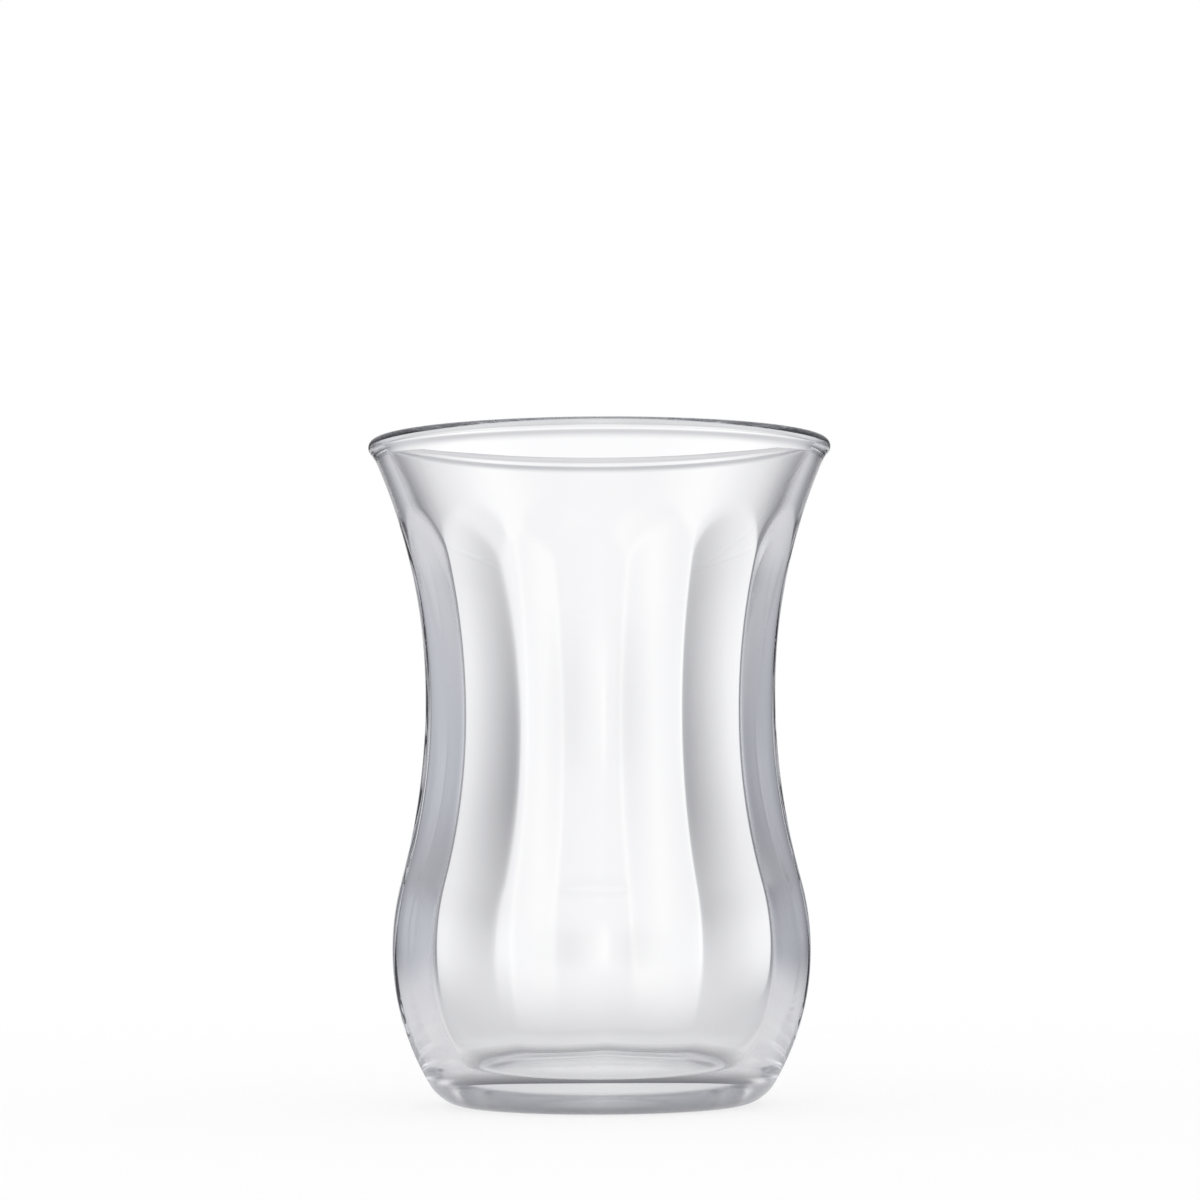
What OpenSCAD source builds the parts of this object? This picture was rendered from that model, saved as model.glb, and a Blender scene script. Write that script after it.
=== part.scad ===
// Chai glass
// A waisted tea glass of clear soda-lime glass, formed in one piece: a beaded rim on a flared
// lip, a narrow waist, a round bulb and a heavy floor that stands on a ring. The outside is
// smooth. The inside has nearly flat upright panels with arched tops, and fine arrises
// between them, which is what breaks up the light in the wall.

/* [Outside] */
// Height from the table to the top of the rim
glass_h = 90; // [82:0.5:105]
// Diameter over the rim bead
rim_d = 63; // [58:0.5:70]
// Diameter at the waist, the narrowest place
waist_d = 47.5; // [44:0.5:51]
// Height of the waist above the table
waist_z = 55; // [51:0.5:60]
// Diameter of the bulb, the widest place below the waist
bulb_d = 56.6; // [54:0.2:62]
// Height of the widest place of the bulb above the table
bulb_z = 21; // [18:0.5:24]
// Radius of the upright curve over the bulb
bulb_curve = 35.3; // [30:0.1:42]
// Radius of the heel, where the bulb turns under to the standing ring
heel_r = 6; // [4:0.25:7]

/* [Rim] */
// Thickness of the fire-polished bead along the rim
bead_d = 2.2; // [1.8:0.1:3]
// How far the bead stands out past the wall below it
bead_proud = 0.2; // [0.1:0.05:0.4]
// How far the bead stands in past the wall inside
bead_inset = 0.15; // [0.1:0.05:0.4]

/* [Wall] */
// Wall at the arrises of the inner waist, against the outer waist
waist_wall = 3.35; // [2.5:0.05:4]
// Wall at the arrises of the bulb
bulb_wall = 3.15; // [2.4:0.05:4]
// How far the inner waist lies below the outer one
waist_drop = 4; // [0:0.5:8]
// How far the widest place inside the bulb lies above the outer one
bulb_lift = 0.5; // [0:0.25:3]
// Radius of the upright curve inside the bulb
inner_bulb_curve = 26.6; // [23:0.1:30]

/* [Floor] */
// Height of the inner floor above the table
floor_z = 3.8; // [3:0.1:6]
// Radius between the inner floor and the wall
floor_fillet = 7; // [4:0.25:9]
// Width of the flat ring that the glass stands on
ring_w = 2.2; // [1.2:0.1:4]
// Depth of the hollow under the floor
punt_depth = 0.9; // [0.4:0.1:1.6]

/* [Panels] */
// Number of upright panels round the inside
panel_count = 13; // [9:1:18]
// How much thicker the wall is at the middle of a panel than at its arrises
panel_depth = 0.29; // [0.16:0.01:0.4]
// Height of the arched tops of the panels
arch_top_z = 80; // [74:0.5:82]
// How far each arch springs below its top
arch_rise = 9; // [5:0.5:14]
// Height over which the panels grow out of the floor to their full depth
panel_run_in = 22; // [12:1:40]
// Turn of one arris from the front towards the right, in degrees
arris_turn = 1.3; // [0:0.1:27]

/* [Hidden] */

glass_colour = [0.85, 0.92, 0.92, 0.55];

// Fineness of the revolved outside, and of the panelled inside
revolve_facets = 160;
panel_facets = 6;
fillet_steps = 5;
bulb_steps = 11;
waist_steps = 6;
flare_steps = 18;

// Places of the rim and of the standing ring
bead_z = glass_h - bead_d / 2;
bead_centre_r = (rim_d - bead_d) / 2;
lip_r = rim_d / 2 - bead_proud;
around = panel_count * panel_facets;
panel_half_turn = 180 / panel_count;

// Points of an arc about a centre, from one angle to another
function arc(centre, radius, from, to, steps) =
    [for (i = [0:steps]) let (a = from + (to - from) * i / steps) centre + radius * [cos(a), sin(a)]];

// The same list without its first point, to follow on from another arc
function after_first(points) = [for (i = [1:len(points) - 1]) points[i]];

// Radius of an arc that starts upright and moves out by dr over a rise of dz
function lean_radius(dz, dr) = (dz * dz + dr * dr) / (2 * dr);

// Radius of an arc that starts upright and then hugs a circle of radius r from inside the glass,
// with the circle's centre dr further out and dz higher than the start
function hugging_radius(dz, dr, r) = (dz * dz + dr * dr - r * r) / (2 * (dr - r));

// Centre of a fillet between a level floor and the curve of a bulb above it
function fillet_centre(foot_z, fillet_r, bulb_r, height, curve) =
    [bulb_r - curve + sqrt(pow(curve - fillet_r, 2) - pow(height - foot_z - fillet_r, 2)), foot_z + fillet_r];

// One side of a waisted form, from its floor up to end_z, in tangent arcs:
// fillet, bulb, waist and flare
function waisted_side(foot_z, fillet_r, bulb_r, height, curve, waist_r, waist_height, flare, end_z) =
    let (
        bulb_centre = [bulb_r - curve, height],
        fillet_c = fillet_centre(foot_z, fillet_r, bulb_r, height, curve),
        fillet_end = atan2(fillet_c[1] - height, fillet_c[0] - bulb_centre[0]),
        both_curves = lean_radius(waist_height - height, bulb_r - waist_r),
        turn = asin((waist_height - height) / both_curves),
        waist_curve = both_curves - curve,
        flare_turn = asin((end_z - waist_height) / flare)
    )
    concat(
        arc(fillet_c, fillet_r, -90, fillet_end, fillet_steps),
        after_first(arc(bulb_centre, curve, fillet_end, turn, bulb_steps)),
        after_first(arc([waist_r + waist_curve, waist_height], waist_curve, 180 + turn, 180, waist_steps)),
        after_first(arc([waist_r + flare, waist_height], flare, 180, 180 - flare_turn, flare_steps))
    );

outer_flare = lean_radius(bead_z - waist_z, lip_r - waist_d / 2);
outer_side = waisted_side(0, heel_r, bulb_d / 2, bulb_z, bulb_curve, waist_d / 2, waist_z, outer_flare, bead_z);

// The inside at its arrises. It runs up along a circle just within the bead, and on to the rim's top.
inner_waist_r = waist_d / 2 - waist_wall;
inner_waist_z = waist_z - waist_drop;
hugged_r = bead_d / 2 - bead_inset;
inner_flare = hugging_radius(bead_z - inner_waist_z, bead_centre_r - inner_waist_r, hugged_r);
inner_side = waisted_side(floor_z, floor_fillet, bulb_d / 2 - bulb_wall, bulb_z + bulb_lift, inner_bulb_curve,
                          inner_waist_r, inner_waist_z, inner_flare, glass_h);

// Height at which the inner flare touches that circle
lip_z = bead_z + hugged_r * (bead_z - inner_waist_z) / (inner_flare - hugged_r);

ring_outer_r = outer_side[0][0];
ring_inner_r = ring_outer_r - ring_w;

// How far a panel stands in from the arrises: u runs from -1 to 1 across the panel.
// The crown is a parabola, it grows smoothly out of the floor, and its top is cut to a half ellipse.
function panel_stand(u, z) =
    let (
        share = min(1, max(0, (z - floor_z) / panel_run_in)),
        grown = share * share * (3 - 2 * share),
        arch = max(0, (z - arch_top_z + arch_rise) / arch_rise)
    )
    panel_depth * max(0, (1 - u * u) * grown - arch * arch);

// Place of a point of the inside: ring point p of the side, at step i round the glass
function inside_point(p, i) =
    let (
        u = 2 * (i % panel_facets) / panel_facets - 1,
        a = -90 + arris_turn + panel_half_turn * 2 * i / panel_facets,
        r = p[0] - panel_stand(u, p[1])
    )
    [r * cos(a), r * sin(a), p[1]];

// The hollow of the glass, lofted ring by ring from the floor to above the rim
module hollow() {
    rings = len(inner_side);
    floor_point = rings * around;
    top_point = floor_point + 1;
    points = concat(
        [for (p = inner_side) for (i = [0:around - 1]) inside_point(p, i)],
        [[0, 0, floor_z], [0, 0, glass_h]]
    );
    walls = [for (k = [0:rings - 2]) for (i = [0:around - 1])
        let (
            low = k * around + i,
            low_next = k * around + (i + 1) % around,
            high = low + around,
            high_next = low_next + around
        )
        each [[low, high, high_next], [low, high_next, low_next]]];
    floor_fan = [for (i = [0:around - 1]) [floor_point, i, (i + 1) % around]];
    last = (rings - 1) * around;
    top_fan = [for (i = [0:around - 1]) [top_point, last + (i + 1) % around, last + i]];
    polyhedron(points, concat(walls, floor_fan, top_fan));
}

// The shallow dome under the floor, inside the standing ring
module punt() {
    dome_r = lean_radius(ring_inner_r, punt_depth);
    translate([0, 0, punt_depth - dome_r])
        sphere(dome_r, $fn = revolve_facets);
}

// The round bead that closes the cut edge of the rim
module rim_bead() {
    rotate_extrude($fn = revolve_facets)
        translate([bead_centre_r, bead_z])
            circle(d = bead_d, $fn = 32);
}

module tea_glass() {
    color(glass_colour)
    union() {
        difference() {
            rotate_extrude($fn = revolve_facets)
                polygon(concat([[0, 0]], outer_side, [[bead_centre_r, lip_z], [0, lip_z]]));
            hollow();
            punt();
        }
        rim_bead();
    }
}

tea_glass();
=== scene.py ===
"""A waisted tea glass of clear glass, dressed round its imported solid, on a plain pale stage."""

import math

import bpy
import numpy as np
from bpy.props import FloatProperty, FloatVectorProperty, IntProperty, PointerProperty
from bpy.types import Operator, Panel, PropertyGroup
from mathutils import Matrix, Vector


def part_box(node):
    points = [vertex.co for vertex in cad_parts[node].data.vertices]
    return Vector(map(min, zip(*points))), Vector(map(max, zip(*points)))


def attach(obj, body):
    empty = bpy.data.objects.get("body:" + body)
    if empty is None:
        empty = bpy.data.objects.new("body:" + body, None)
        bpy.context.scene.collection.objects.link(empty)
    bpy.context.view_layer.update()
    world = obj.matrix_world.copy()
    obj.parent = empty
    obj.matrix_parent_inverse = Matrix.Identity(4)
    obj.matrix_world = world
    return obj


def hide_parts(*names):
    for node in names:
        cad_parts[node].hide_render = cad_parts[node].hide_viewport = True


bl_info = {
    "name": "Tea Glass",
    "version": (1, 0, 0),
    "blender": (4, 5, 0),
    "location": "View3D > Sidebar > Tea Glass",
    "description": "Forms a waisted tea glass with arched panels inside, and the stage it stands on",
    "category": "Add Mesh",
}

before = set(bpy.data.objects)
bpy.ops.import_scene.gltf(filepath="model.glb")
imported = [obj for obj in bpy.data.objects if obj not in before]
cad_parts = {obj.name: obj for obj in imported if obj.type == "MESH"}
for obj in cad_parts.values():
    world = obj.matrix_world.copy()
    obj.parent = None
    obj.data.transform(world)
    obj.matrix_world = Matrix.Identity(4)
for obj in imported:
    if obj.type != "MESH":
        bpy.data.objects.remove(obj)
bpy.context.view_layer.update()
GLASS_LOW, GLASS_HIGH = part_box("tea_glass")

MM = 0.001

# Points along each stretch of the half section, outside and then inside
OUTER_POINTS = {"dome": 9, "ring": 4, "heel": 14, "bulb": 31, "waist": 17, "flare": 29, "neck": 7,
                "bead": 29}
INNER_POINTS = {"flare": 49, "waist": 17, "bulb": 33, "fillet": 15, "floor": 7}
SPOKES_PER_PANEL = 30

# Share of a panel's depth over which the edge of its arch is rounded
ARCH_SOFTNESS = 0.03

# The satin of the underside is gone at this many times its height
SATIN_END = 1.2

# The floor lies just under the glass, so that their faces don't share a place
FLOOR_DROP = 0.02 * MM
FLOOR_SPOKES = 96
FLOOR_RINGS = 20

# The floor starts to fade into the backdrop at this share of its reach
FADE_START = 1 / 3

# Light crosses the two walls and turns inside them many times
LIGHT_BOUNCES = 32

# Sensor width in millimetres, and the nearest distance that the camera shows
SENSOR_WIDTH = 36
NEAREST = 10 * MM

# Places of the two colours and of the result among the sockets of a colour mix
MIX_FROM, MIX_TO, MIX_RESULT = 6, 7, 2

# The studio's colours run from straight behind the glass to straight beside it, in degrees
QUARTER_TURN = 90


def linear(hex_colour):
    """Linear RGB of an sRGB hex colour: c / 12.92 below 0.04045, else ((c + 0.055) / 1.055) ^ 2.4."""
    shares = [int(hex_colour[i:i + 2], 16) / 255 for i in (0, 2, 4)]
    return tuple(c / 12.92 if c <= 0.04045 else ((c + 0.055) / 1.055) ** 2.4 for c in shares)


def length(name, description, default):
    """A size in metres that the sidebar shows as a length."""
    return FloatProperty(name=name, description=description, default=default, unit="LENGTH", precision=5)


def slant(name, description, degrees):
    """An angle that the sidebar shows in degrees."""
    return FloatProperty(name=name, description=description, default=math.radians(degrees),
                         subtype="ANGLE")


def fraction(name, description, default):
    """A share between 0 and 1."""
    return FloatProperty(name=name, description=description, default=default, min=0.0, max=1.0,
                         subtype="FACTOR")


def swatch(name, description, hex_colour):
    """A colour that the sidebar shows as a swatch."""
    return FloatVectorProperty(name=name, description=description, default=linear(hex_colour), size=3,
                               subtype="COLOR")


class TeaGlassSizes(PropertyGroup):
    """Sizes of the glass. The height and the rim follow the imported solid."""

    height: length("Height", "From the table to the top of the rim", GLASS_HIGH.z - GLASS_LOW.z)
    rim_width: length("Rim width", "Diameter over the rim bead", GLASS_HIGH.x - GLASS_LOW.x)
    waist_width: length("Waist width", "Diameter at the narrowest place", 47.5 * MM)
    waist_height: length("Waist height", "Height of the narrowest place", 55 * MM)
    bulb_width: length("Bulb width", "Diameter at the widest place below the waist", 56.6 * MM)
    bulb_height: length("Bulb height", "Height of the widest place of the bulb", 21 * MM)
    bulb_curve: length("Bulb curve", "Radius of the upright curve over the bulb", 35.3 * MM)
    heel: length("Heel", "Radius of the turn from the bulb to the standing ring", 6 * MM)
    bead: length("Bead", "Thickness of the bead along the rim", 2.2 * MM)
    bead_proud: length("Bead proud", "How far the bead stands out past the wall", 0.2 * MM)
    outer_neck: length("Outer neck", "Radius of the hollow under the bead", 4 * MM)
    waist_wall: length("Waist wall", "Wall at the arrises of the inner waist", 3.35 * MM)
    bulb_wall: length("Bulb wall", "Wall at the arrises of the bulb", 3.15 * MM)
    waist_drop: length("Waist drop", "How far the inner waist lies below the outer one", 4 * MM)
    bulb_lift: length("Bulb lift", "How far the inner bulb lies above the outer one", 0.5 * MM)
    inner_curve: length("Inner curve", "Radius of the upright curve inside the bulb", 26.6 * MM)
    floor_height: length("Floor height", "Height of the inner floor", 3.8 * MM)
    floor_fillet: length("Floor fillet", "Radius between the inner floor and the wall", 7 * MM)
    ring: length("Standing ring", "Width of the flat ring that the glass stands on", 2.2 * MM)
    punt: length("Punt", "Depth of the hollow under the floor", 0.9 * MM)
    panels: IntProperty(name="Panels", description="Upright panels round the inside", default=13, min=3)
    panel_depth: length("Panel depth", "How far a panel's middle stands in from its arrises", 0.29 * MM)
    arch_top: length("Arch top", "Height of the arched tops of the panels", 80 * MM)
    arch_rise: length("Arch rise", "How far each arch springs below its top", 9 * MM)
    panel_run_in: length("Panel run-in", "Height over which the panels grow out of the floor", 22 * MM)
    arris_turn: slant("Arris turn", "Turn of one arris from the front to the right", 1.3)
    arris_softness: fraction("Arris softness", "Share of a half panel that an arris rounds", 0.08)


class GlassFinish(PropertyGroup):
    """Look of the clear glass."""

    tint: swatch("Tint", "Colour that the surface lets through", "FEFEFE")
    body: swatch("Body", "Colour that a thick piece of the glass shows", "E4E7EC")
    density: FloatProperty(name="Density", description="Strength of the body colour, per metre",
                           default=4.0)
    ior: FloatProperty(name="IOR", description="How strongly the glass bends light", default=1.52)
    ripple: length("Ripple", "Distance between the waves that forming leaves in the wall", 11 * MM)
    ripple_height: length("Ripple height", "Height of those waves", 0.005 * MM)
    base_height: length("Base height", "Height up to which the underside is satin", 1.0 * MM)
    base_roughness: fraction("Base roughness", "Roughness of that underside", 0.15)
    # Painted shade: a grey that darkens the turn of the heel towards the table, in place of the contact
    # shadow there. Its height and start radius follow.
    painted_heel_shade: swatch("Painted heel shade", "Grey painted on the turn of the heel as shade, in place of its contact shadow", "404046")
    painted_shade_height: length("Worn height", "Height over which the painted shade fades up the heel", 2.5 * MM)
    painted_shade_from: length("Worn from", "Radius at which the painted shade on the turn of the heel starts", 18.2 * MM)


class StageSettings(PropertyGroup):
    """Light, floor and camera."""

    floor: swatch("Floor", "Colour of the floor", "FEFEFE")
    floor_glow: fraction("Floor glow", "Share of the floor's light that comes from below it", 0.8)
    floor_reach: length("Floor reach", "Distance at which the floor has faded into the backdrop", 300 * MM)
    ceiling_start: slant("Ceiling start", "Elevation at which the ceiling starts to show", 5)
    ceiling_full: slant("Ceiling full", "Elevation at which only the ceiling is left", 18)
    edge_start: slant("Edge start", "Depression at which the table's far edge starts to show", 3)
    edge_full: slant("Edge full", "Depression at which only the table's far edge is left", 13)
    table_start: slant("Table start", "Depression at which the near table starts to show", 12)
    table_full: slant("Table full", "Depression at which only the near table is left", 22)
    brightness: FloatProperty(name="Brightness", description="Strength of the studio's colours",
                              default=1.1)
    camera_distance: length("Camera distance", "From the glass's axis to the camera", 512.6 * MM)
    camera_height: length("Camera height", "Height of the camera over the table", 37.4 * MM)
    camera_tilt: slant("Camera tilt", "How far the camera looks up", 3.44)
    camera_roll: slant("Camera roll", "Clockwise turn of the camera about its view", 0.265)
    lens: FloatProperty(name="Lens", description="Focal length on a 36 mm wide sensor",
                        default=113.22, subtype="DISTANCE_CAMERA")


def arc(centre, radius, start, end, count):
    """Points of an arc: centre + radius (cos a, sin a), with a in even steps from start to end."""
    angle = np.linspace(start, end, count)
    return np.asarray(centre) + radius * np.column_stack([np.cos(angle), np.sin(angle)])


def lean_radius(rise, reach):
    """Radius of an arc that starts upright and moves out by reach over a rise.

    It is (rise^2 + reach^2) / (2 reach).
    """
    return (rise * rise + reach * reach) / (2 * reach)


def hugging_radius(rise, reach, circle):
    """Radius of an arc that starts upright and hugs a circle, whose centre lies reach out and rise up.

    It is (rise^2 + reach^2 - circle^2) / (2 (reach - circle)).
    """
    return (rise * rise + reach * reach - circle * circle) / (2 * (reach - circle))


def crossing(centre_a, radius_a, centre_b, radius_b, side):
    """Point where two circles cross.

    It lies along the line of centres by (d^2 + ra^2 - rb^2) / 2d, and then square to that line.
    """
    line = np.subtract(centre_b, centre_a)
    gap = np.hypot(*line)
    along = (gap * gap + radius_a * radius_a - radius_b * radius_b) / (2 * gap)
    across = math.sqrt(radius_a * radius_a - along * along)
    ahead = line / gap
    return centre_a + along * ahead + side * across * np.array([-ahead[1], ahead[0]])


def bearing(origin, point):
    """Angle of the direction from one point to another."""
    return math.atan2(point[1] - origin[1], point[0] - origin[0])


def waisted_side(foot, fillet, bulb_r, bulb_z, curve, waist_r, waist_z, flare):
    """Arcs of one side of a waisted form, each as centre, radius, start and end, tangent to the next.

    A fillet turns up from the floor into the bulb's arc. The bulb's and the waist's arcs share the rise
    between them: the sum of their radii is the lean radius of that rise. The flare starts upright at the
    waist, and its end is left to the rim.
    """
    bulb_centre = np.array([bulb_r - curve, bulb_z])
    reach = math.sqrt((curve - fillet) ** 2 - (bulb_z - foot - fillet) ** 2)
    fillet_centre = np.array([bulb_centre[0] + reach, foot + fillet])
    fillet_end = bearing(bulb_centre, fillet_centre)
    both = lean_radius(waist_z - bulb_z, bulb_r - waist_r)
    turn = math.asin((waist_z - bulb_z) / both)
    waist_curve = both - curve
    return {
        "fillet": (fillet_centre, fillet, -math.pi / 2, fillet_end),
        "bulb": (bulb_centre, curve, fillet_end, turn),
        "waist": (np.array([waist_r + waist_curve, waist_z]), waist_curve, math.pi + turn, math.pi),
        "flare": (np.array([waist_r + flare, waist_z]), flare, math.pi),
    }


def glass_profile(s):
    """Half section of the glass as radius and height, from under the floor, round the rim, to the floor.

    The outside runs along the punt's dome z = punt - (R - sqrt(R^2 - r^2)), the ring, and the outer arcs.
    The bead is a circle, with a hollow arc between it and the outer wall. The inner flare hugs the bead, so
    the lip is smooth inside, and the inside comes back down the inner arcs. The last array is true where
    the panels are.
    """
    bead_r = s.bead / 2
    bead_centre = np.array([s.rim_width / 2 - bead_r, s.height - bead_r])
    lip_r = s.rim_width / 2 - s.bead_proud
    outer_flare = lean_radius(bead_centre[1] - s.waist_height, lip_r - s.waist_width / 2)
    outer = waisted_side(0, s.heel, s.bulb_width / 2, s.bulb_height, s.bulb_curve,
                         s.waist_width / 2, s.waist_height, outer_flare)
    inner_waist = np.array([s.waist_width / 2 - s.waist_wall, s.waist_height - s.waist_drop])
    reach, rise = bead_centre - inner_waist
    inner = waisted_side(s.floor_height, s.floor_fillet, s.bulb_width / 2 - s.bulb_wall,
                         s.bulb_height + s.bulb_lift, s.inner_curve, *inner_waist,
                         hugging_radius(rise, reach, bead_r))

    ring_outer = outer["fillet"][0][0]
    ring_inner = ring_outer - s.ring
    dome = lean_radius(ring_inner, s.punt)
    dome_r = np.linspace(0, ring_inner, OUTER_POINTS["dome"])
    under = np.column_stack([dome_r, s.punt - dome + np.sqrt(dome * dome - dome_r * dome_r)])
    ring_r = np.linspace(ring_inner, ring_outer, OUTER_POINTS["ring"])
    ring = np.column_stack([ring_r, np.zeros(len(ring_r))])

    flare_centre, flare_r, flare_start = outer["flare"]
    neck = crossing(flare_centre, flare_r - s.outer_neck, bead_centre, bead_r + s.outer_neck, 1)
    lip_end = bearing(flare_centre, neck) % (2 * math.pi)
    bead_start = bearing(bead_centre, neck)

    inner_centre, inner_r, inner_start = inner["flare"]
    touch = bearing(inner_centre, bead_centre)

    outside = [
        under,
        ring[1:-1],
        arc(*outer["fillet"], OUTER_POINTS["heel"]),
        arc(*outer["bulb"], OUTER_POINTS["bulb"])[1:],
        arc(*outer["waist"], OUTER_POINTS["waist"])[1:],
        arc(flare_centre, flare_r, flare_start, lip_end, OUTER_POINTS["flare"])[1:],
        arc(neck, s.outer_neck, lip_end, bead_start + math.pi, OUTER_POINTS["neck"])[1:],
        arc(bead_centre, bead_r, bead_start, touch, OUTER_POINTS["bead"])[1:],
    ]
    inside = [
        arc(inner_centre, inner_r, touch, inner_start, INNER_POINTS["flare"])[1:],
        arc(*inner["waist"], INNER_POINTS["waist"])[::-1][1:],
        arc(*inner["bulb"], INNER_POINTS["bulb"])[::-1][1:],
        arc(*inner["fillet"], INNER_POINTS["fillet"])[::-1][1:],
    ]
    floor_r = np.linspace(inner["fillet"][0][0], 0, INNER_POINTS["floor"])[1:]
    inside.append(np.column_stack([floor_r, np.full(len(floor_r), s.floor_height)]))
    points = np.vstack(outside + inside)
    is_inside = np.arange(len(points)) >= sum(map(len, outside))
    return points[:, 0], points[:, 1], is_inside


def panel_stand(s, u, z):
    """How far a panel stands in from its arrises at u, -1 to 1 across it, and height z.

    The crown is 2 v - v^2, where v = 1 - |u| is rounded to sqrt(v^2 + arris softness^2). It is grown out
    of the floor by a smooth step and loses the square of the height above the arch's spring, so the top is
    a half ellipse. What is left, h, is kept above zero by (h + sqrt(h^2 + arch softness^2)) / 2.
    """
    v = np.sqrt((1 - np.abs(u)) ** 2 + s.arris_softness ** 2)
    share = np.clip((z - s.floor_height) / s.panel_run_in, 0, 1)
    grown = share * share * (3 - 2 * share)
    arch = np.maximum(0, (z - s.arch_top + s.arch_rise) / s.arch_rise)
    left = (2 * v - v * v) * grown - arch * arch
    return s.panel_depth * (left + np.sqrt(left * left + ARCH_SOFTNESS * ARCH_SOFTNESS)) / 2


def glass_surface(s):
    """Rings of points round the glass, and its two poles.

    The profile turns about Z. Spokes lie at u = sin(pi t / 2) across each panel, close together at the
    arrises. Inside, the radius is less by the panel's stand.
    """
    t = np.linspace(-1, 1, SPOKES_PER_PANEL, endpoint=False)
    u = np.sin(math.pi / 2 * t)
    panel = np.arange(s.panels)[:, None] + (u + 1) / 2
    azimuth = -math.pi / 2 + s.arris_turn + 2 * math.pi / s.panels * panel.ravel()
    r, z, inside = glass_profile(s)
    stand = inside[:, None] * panel_stand(s, np.tile(u, s.panels)[None, :], z[:, None])
    radius = r[:, None] - stand
    height = np.broadcast_to(z[:, None], radius.shape)
    points = np.stack([radius * np.cos(azimuth), radius * np.sin(azimuth), height], axis=-1)
    return points[1:-1], (0, 0, z[0]), (0, 0, z[-1])


def ring_quads(count, spokes):
    """Corners of the faces between rings of points.

    Face k, i joins rings k and k + 1 between spokes i and i + 1, and the last spoke joins the first.
    """
    spoke = np.arange(spokes)
    following = np.roll(spoke, -1)
    start = np.arange(count - 1)[:, None] * spokes
    beyond = start + spokes
    return np.stack([start + spoke, start + following, beyond + following, beyond + spoke], axis=-1)


def wrapped_mesh(name, rings, low_pole, high_pole):
    """Closed mesh of rings of points and two poles, facing outwards.

    A fan of triangles closes each pole.
    """
    count, spokes = rings.shape[:2]
    spoke = np.arange(spokes)
    following = np.roll(spoke, -1)
    quads = ring_quads(count, spokes)
    low = count * spokes
    last = low - spokes
    low_fan = np.column_stack([np.full(spokes, low), following, spoke])
    high_fan = np.column_stack([last + spoke, last + following, np.full(spokes, low + 1)])
    corners = np.concatenate([quads.ravel(), low_fan.ravel(), high_fan.ravel()])
    sides = np.concatenate([np.full((count - 1) * spokes, 4), np.full(2 * spokes, 3)])
    points = np.vstack([rings.reshape(-1, 3), low_pole, high_pole])
    mesh = bpy.data.meshes.new(name)
    mesh.vertices.add(len(points))
    mesh.vertices.foreach_set("co", points.ravel())
    mesh.loops.add(len(corners))
    mesh.loops.foreach_set("vertex_index", corners)
    mesh.polygons.add(len(sides))
    mesh.polygons.foreach_set("loop_start", np.cumsum(sides) - sides)
    mesh.polygons.foreach_set("use_smooth", np.ones(len(sides), bool))
    mesh.update(calc_edges=True)
    return mesh


def disc_mesh(name, rings, middle):
    """Flat mesh of rings that shrink towards a middle point, facing up."""
    count, spokes = rings.shape[:2]
    spoke = np.arange(spokes)
    last = (count - 1) * spokes
    fan = np.column_stack([last + spoke, last + np.roll(spoke, -1), np.full(spokes, count * spokes)])
    mesh = bpy.data.meshes.new(name)
    mesh.from_pydata(np.vstack([rings.reshape(-1, 3), middle]).tolist(), [],
                     ring_quads(count, spokes).reshape(-1, 4).tolist() + fan.tolist())
    mesh.update()
    return mesh


def show(name, mesh, material):
    """Puts a mesh into the scene as an object at the origin, with a material."""
    mesh.materials.append(material)
    piece = bpy.data.objects.new(name, mesh)
    bpy.context.scene.collection.objects.link(piece)
    return piece


def add_node(tree, kind, inputs=None, stops=(), **settings):
    """Adds a node, sets its properties and colour stops, and gives each input a value or a link.

    Stops are places from 0 to 1 with their colours. An input is linked where an output socket is given.
    """
    node = tree.nodes.new(kind)
    for key, value in settings.items():
        setattr(node, key, value)
    if stops:
        elements = node.color_ramp.elements
        for place, _ in stops[1:-1]:
            elements.new(place)
        for element, (place, colour) in zip(elements, stops):
            element.position = place
            element.color = colour
    for key, value in (inputs or {}).items():
        if isinstance(value, bpy.types.NodeSocket):
            tree.links.new(value, node.inputs[key])
        else:
            node.inputs[key].default_value = value
    return node


def new_material(name):
    """A material with an empty node tree."""
    material = bpy.data.materials.new(name)
    material.use_nodes = True
    material.node_tree.nodes.clear()
    return material


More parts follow.
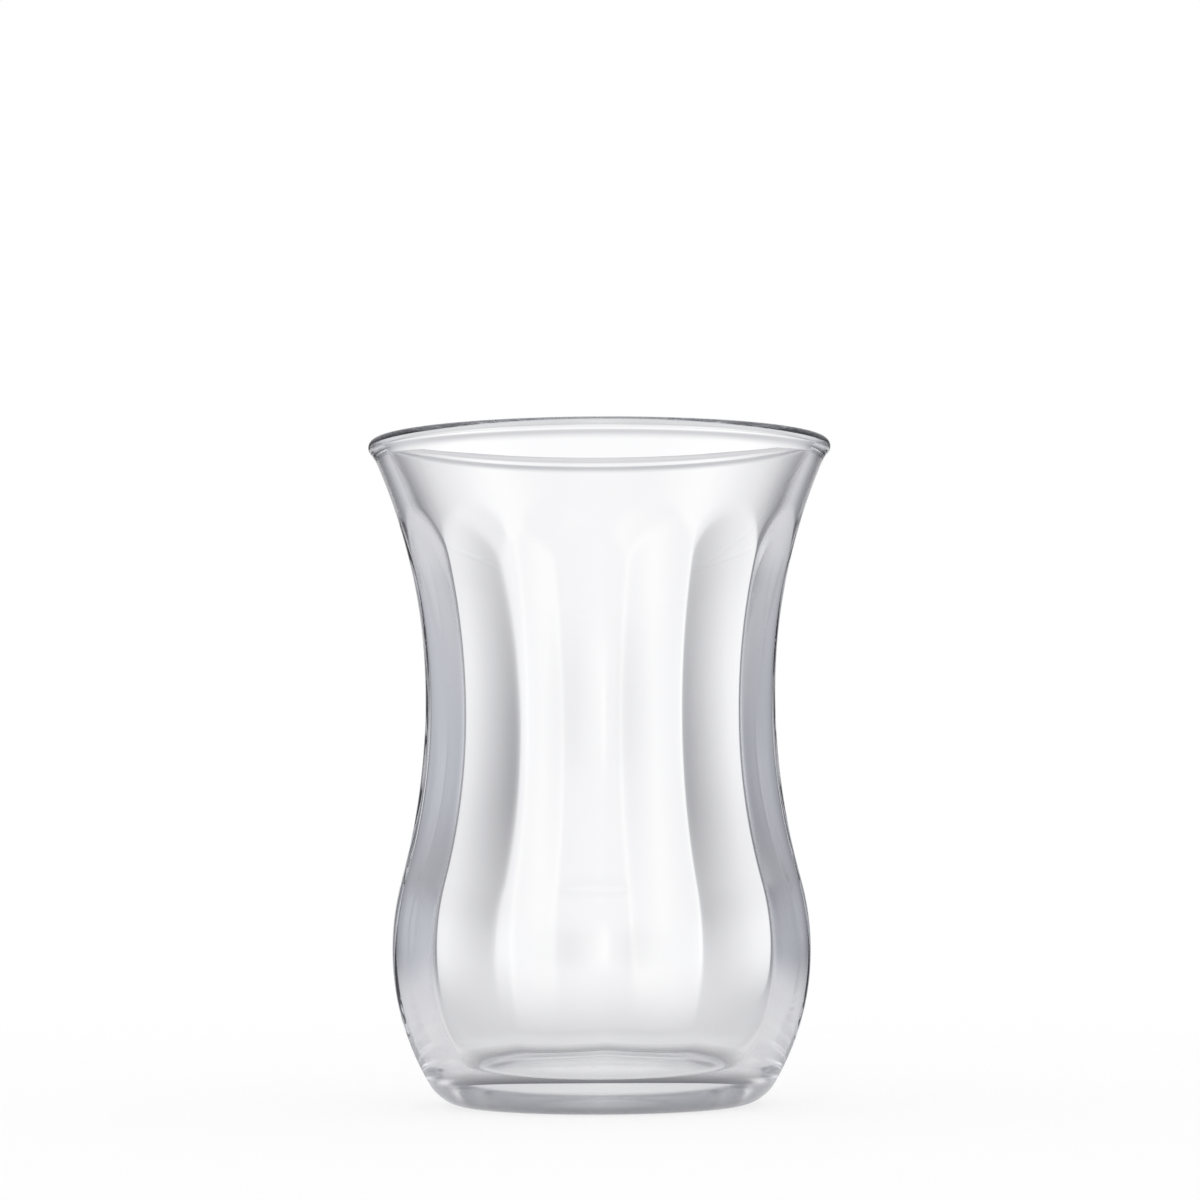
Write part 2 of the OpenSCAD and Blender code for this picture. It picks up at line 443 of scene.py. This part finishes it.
def fire_polished_glass(finish):
    """Soda-lime glass, formed hot in a mould and fire-polished.

    It is clear and smooth, bends light strongly, and has long low waves where it cooled against the mould.
    The underside stays satin, because no flame reaches it, and the turn of the heel is darkened towards the
    table by a painted grey shade, in place of its contact shadow.
    """
    material = new_material("fire_polished_soda_lime_glass")
    tree = material.node_tree
    place = add_node(tree, "ShaderNodeTexCoord")
    waves = add_node(tree, "ShaderNodeTexNoise",
                     {"Vector": place.outputs["Object"], "Scale": 1 / finish.ripple, "Detail": 1.0})
    bump = add_node(tree, "ShaderNodeBump",
                    {"Height": waves.outputs["Fac"], "Distance": finish.ripple_height, "Strength": 1.0})
    level = add_node(tree, "ShaderNodeSeparateXYZ", {0: place.outputs["Object"]})
    satin = add_node(tree, "ShaderNodeMapRange",
                     {"Value": level.outputs["Z"], "From Min": finish.base_height,
                      "From Max": finish.base_height * SATIN_END,
                      "To Min": finish.base_roughness, "To Max": 0.0})
    flat = add_node(tree, "ShaderNodeVectorMath", {0: place.outputs["Object"], 1: (1, 1, 0)},
                    operation="MULTIPLY")
    away = add_node(tree, "ShaderNodeVectorMath", {0: flat.outputs["Vector"]}, operation="LENGTH")
    outer = add_node(tree, "ShaderNodeMath", {0: away.outputs["Value"], 1: finish.painted_shade_from},
                     operation="GREATER_THAN")
    # Painted shade: share of the grey mixed into the surface colour. It is strongest at the table, gone at
    # its height, and only beyond its start radius.
    painted_shade_share = add_node(tree, "ShaderNodeMapRange",
                       {"Value": level.outputs["Z"], "From Min": finish.painted_shade_height, "From Max": 0.0,
                        "To Max": outer.outputs[0]})
    colour = add_node(tree, "ShaderNodeMix",
                      {"Factor": painted_shade_share.outputs["Result"], MIX_FROM: (*finish.tint, 1),
                       MIX_TO: (*finish.painted_heel_shade, 1)}, data_type="RGBA")
    surface = add_node(tree, "ShaderNodeBsdfPrincipled",
                       {"Base Color": colour.outputs[MIX_RESULT], "Roughness": satin.outputs["Result"],
                        "IOR": finish.ior, "Transmission Weight": 1.0, "Normal": bump.outputs["Normal"]})
    body = add_node(tree, "ShaderNodeVolumeAbsorption",
                    {"Color": (*finish.body, 1), "Density": finish.density})
    add_node(tree, "ShaderNodeOutputMaterial",
             {"Surface": surface.outputs["BSDF"], "Volume": body.outputs["Volume"]})
    return material


def pale_floor(stage):
    """Opal white sheet, lit partly from below, that fades into the backdrop, so that no horizon shows.

    It is left out for light that the glass turns, which sees the studio's table instead.
    """
    material = new_material("opal_white_sheet")
    tree = material.node_tree
    place = add_node(tree, "ShaderNodeTexCoord")
    away = add_node(tree, "ShaderNodeVectorMath", {0: place.outputs["Object"]}, operation="LENGTH")
    fade = add_node(tree, "ShaderNodeMapRange",
                    {"Value": away.outputs["Value"], "From Min": stage.floor_reach * FADE_START,
                     "From Max": stage.floor_reach}, interpolation_type="SMOOTHSTEP")
    top = add_node(tree, "ShaderNodeBsdfDiffuse", {"Color": (*stage.floor, 1)})
    glow = add_node(tree, "ShaderNodeEmission", {"Color": (*stage.floor, 1), "Strength": 1.0})
    sheet = add_node(tree, "ShaderNodeMixShader",
                     {0: stage.floor_glow, 1: top.outputs["BSDF"], 2: glow.outputs["Emission"]})
    clear = add_node(tree, "ShaderNodeBsdfTransparent")
    path = add_node(tree, "ShaderNodeLightPath")
    turned = add_node(tree, "ShaderNodeMath",
                      {0: path.outputs["Is Glossy Ray"], 1: path.outputs["Is Transmission Ray"]},
                      operation="MAXIMUM")
    gone = add_node(tree, "ShaderNodeMath", {0: fade.outputs["Result"], 1: turned.outputs[0]},
                    operation="MAXIMUM")
    surface = add_node(tree, "ShaderNodeMixShader",
                       {0: gone.outputs[0], 1: sheet.outputs["Shader"], 2: clear.outputs["BSDF"]})
    add_node(tree, "ShaderNodeOutputMaterial", {"Surface": surface.outputs["Shader"]})
    return material


# Colours of the studio by the angle in degrees from straight behind the glass, or straight in front
LEVEL_CARDS = (
    (0, "F5F5F6"),
    (1.5, "F6F6F7"),
    (3.4, "FEFEFE"),
    (5.8, "F0F0F2"),
    (7.5, "E8E8EA"),
    (9, "DADADC"),
    (10.5, "C8C8CB"),
    (12, "B0B0B3"),
    (13.2, "949498"),
    (15.5, "5C5C60"),
    (18, "505055"),
    (22, "66666D"),
    (31, "86878F"),
    (41, "ACAEB6"),
    (52, "CCCED5"),
    (65, "E6E7EC"),
    (90, "FBFBFD"),
)
CEILING = ((0, "C4C4C8"), (12, "BCBCC0"), (30, "9C9CA2"), (50, "A2A2A8"), (90, "CDCDD1"))
TABLE_EDGE = (
    (0, "D2D2D4"),
    (20, "CECED1"),
    (36, "CACACE"),
    (50, "C8C8CD"),
    (65, "CECED2"),
    (90, "D4D4D8"),
)
TABLE = ((0, "DADADC"), (40, "D2D2D5"), (90, "BCBCC0"))


def ramp_stops(colours):
    """Stops of a ramp over a quarter turn: each angle as a share of that turn, with its linear colour."""
    return [(degrees / QUARTER_TURN, (*linear(hex_colour), 1)) for degrees, hex_colour in colours]


def light_studio(stage):
    """White backdrop for the camera, plain white light for the floor, and a studio for the glass.

    White cards stand behind the glass, with dark flags beside them, out of the picture. They draw a clear
    glass on a white ground, because the wall bends them into view. Higher up they give way to a ceiling,
    and lower down to the table's far edge and then to the near table. Each gives way to the next by a
    smooth step over the sine of the elevation.
    """
    world = bpy.data.worlds.new("studio")
    bpy.context.scene.world = world
    world.use_nodes = True
    tree = world.node_tree
    tree.nodes.clear()
    place = add_node(tree, "ShaderNodeTexCoord")
    part = add_node(tree, "ShaderNodeSeparateXYZ", {0: place.outputs["Generated"]})
    across = add_node(tree, "ShaderNodeMath", {0: part.outputs["X"]}, operation="ABSOLUTE")
    along = add_node(tree, "ShaderNodeMath", {0: part.outputs["Y"]}, operation="ABSOLUTE")
    angle = add_node(tree, "ShaderNodeMath", {0: across.outputs[0], 1: along.outputs[0]},
                     operation="ARCTAN2")
    share = add_node(tree, "ShaderNodeMath", {0: angle.outputs[0], 1: math.radians(QUARTER_TURN)},
                     operation="DIVIDE")
    ramp = add_node(tree, "ShaderNodeValToRGB", {0: share.outputs[0]}, ramp_stops(LEVEL_CARDS))
    seen = ramp.outputs["Color"]
    for start, full, colours in ((stage.ceiling_start, stage.ceiling_full, CEILING),
                                 (-stage.edge_start, -stage.edge_full, TABLE_EDGE),
                                 (-stage.table_start, -stage.table_full, TABLE)):
        ramp = add_node(tree, "ShaderNodeValToRGB", {0: share.outputs[0]}, ramp_stops(colours))
        fade = add_node(tree, "ShaderNodeMapRange",
                        {"Value": part.outputs["Z"], "From Min": math.sin(start),
                         "From Max": math.sin(full)}, interpolation_type="SMOOTHSTEP")
        layer = add_node(tree, "ShaderNodeMix",
                         {"Factor": fade.outputs["Result"], MIX_FROM: seen, MIX_TO: ramp.outputs["Color"]},
                         data_type="RGBA")
        seen = layer.outputs[MIX_RESULT]
    path = add_node(tree, "ShaderNodeLightPath")
    turned = add_node(tree, "ShaderNodeMath",
                      {0: path.outputs["Is Glossy Ray"], 1: path.outputs["Is Transmission Ray"]},
                      operation="MAXIMUM")
    bent = add_node(tree, "ShaderNodeMath", {0: turned.outputs[0], 1: path.outputs["Diffuse Depth"]},
                    operation="SUBTRACT", use_clamp=True)
    plain = add_node(tree, "ShaderNodeBackground", {"Color": (1, 1, 1, 1), "Strength": 1.0})
    studio = add_node(tree, "ShaderNodeBackground", {"Color": seen, "Strength": stage.brightness})
    both = add_node(tree, "ShaderNodeMixShader",
                    {0: bent.outputs[0], 1: plain.outputs["Background"],
                     2: studio.outputs["Background"]})
    add_node(tree, "ShaderNodeOutputWorld", {"Surface": both.outputs["Shader"]})


def place_camera(stage):
    """Camera in front of the glass, at a height between its bulb and its waist, looking up a little."""
    data = bpy.data.cameras.new("camera")
    data.sensor_width = SENSOR_WIDTH
    data.lens = stage.lens
    data.clip_start = NEAREST
    camera = bpy.data.objects.new("camera", data)
    bpy.context.scene.collection.objects.link(camera)
    camera.matrix_world = (Matrix.Translation((0, -stage.camera_distance, stage.camera_height))
                           @ Matrix.Rotation(math.pi / 2 + stage.camera_tilt, 4, "X")
                           @ Matrix.Rotation(-stage.camera_roll, 4, "Z"))
    bpy.context.scene.camera = camera


class TEAGLASS_OT_form(Operator):
    """Form the glass: smooth outside, arched panels inside, beaded rim and heavy floor"""

    bl_idname = "tea_glass.form"
    bl_label = "Form the Glass"

    def execute(self, context):
        rings, low_pole, high_pole = glass_surface(context.scene.tea_glass_sizes)
        mesh = wrapped_mesh("clear_glass_body", rings, low_pole, high_pole)
        glass = show("clear_glass_body", mesh, fire_polished_glass(context.scene.tea_glass_finish))
        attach(glass, "root")
        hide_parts("tea_glass")
        return {"FINISHED"}


class TEAGLASS_OT_stage(Operator):
    """Set the stage: pale floor, studio light and camera"""

    bl_idname = "tea_glass.stage"
    bl_label = "Set the Stage"

    def execute(self, context):
        stage = context.scene.tea_glass_stage
        context.scene.view_settings.view_transform = "Standard"
        light_paths = context.scene.cycles
        light_paths.max_bounces = LIGHT_BOUNCES
        light_paths.glossy_bounces = LIGHT_BOUNCES
        light_paths.transmission_bounces = LIGHT_BOUNCES
        turn = np.linspace(0, 2 * math.pi, FLOOR_SPOKES, endpoint=False)
        reach = np.linspace(stage.floor_reach, stage.floor_reach / FLOOR_RINGS, FLOOR_RINGS)
        depth = np.full((FLOOR_RINGS, FLOOR_SPOKES), -FLOOR_DROP)
        rings = np.stack([np.outer(reach, np.cos(turn)), np.outer(reach, np.sin(turn)), depth], axis=-1)
        floor = show("floor", disc_mesh("floor", rings, (0, 0, -FLOOR_DROP)), pale_floor(stage))
        light_studio(stage)
        place_camera(stage)
        return {"FINISHED"}


class TEAGLASS_PT_sidebar(Panel):
    """Sidebar panel that lists the operators and the sizes they use"""

    bl_label = "Tea Glass"
    bl_space_type = "VIEW_3D"
    bl_region_type = "UI"
    bl_category = "Tea Glass"

    def draw(self, context):
        layout = self.layout
        for operator, group in (("tea_glass.form", "tea_glass_sizes"), (None, "tea_glass_finish"),
                                ("tea_glass.stage", "tea_glass_stage")):
            if operator:
                layout.operator(operator)
            settings = getattr(context.scene, group)
            for name in settings.bl_rna.properties.keys():
                if name not in ("rna_type", "name"):
                    layout.prop(settings, name)


CLASSES = (TeaGlassSizes, GlassFinish, StageSettings,
           TEAGLASS_OT_form, TEAGLASS_OT_stage, TEAGLASS_PT_sidebar)


def register():
    for cls in CLASSES:
        bpy.utils.register_class(cls)
    bpy.types.Scene.tea_glass_sizes = PointerProperty(type=TeaGlassSizes)
    bpy.types.Scene.tea_glass_finish = PointerProperty(type=GlassFinish)
    bpy.types.Scene.tea_glass_stage = PointerProperty(type=StageSettings)


def unregister():
    del bpy.types.Scene.tea_glass_stage
    del bpy.types.Scene.tea_glass_finish
    del bpy.types.Scene.tea_glass_sizes
    for cls in reversed(CLASSES):
        bpy.utils.unregister_class(cls)


def main():
    """Registers the classes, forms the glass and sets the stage."""
    register()
    bpy.ops.tea_glass.form()
    bpy.ops.tea_glass.stage()


if __name__ == "__main__":
    main()
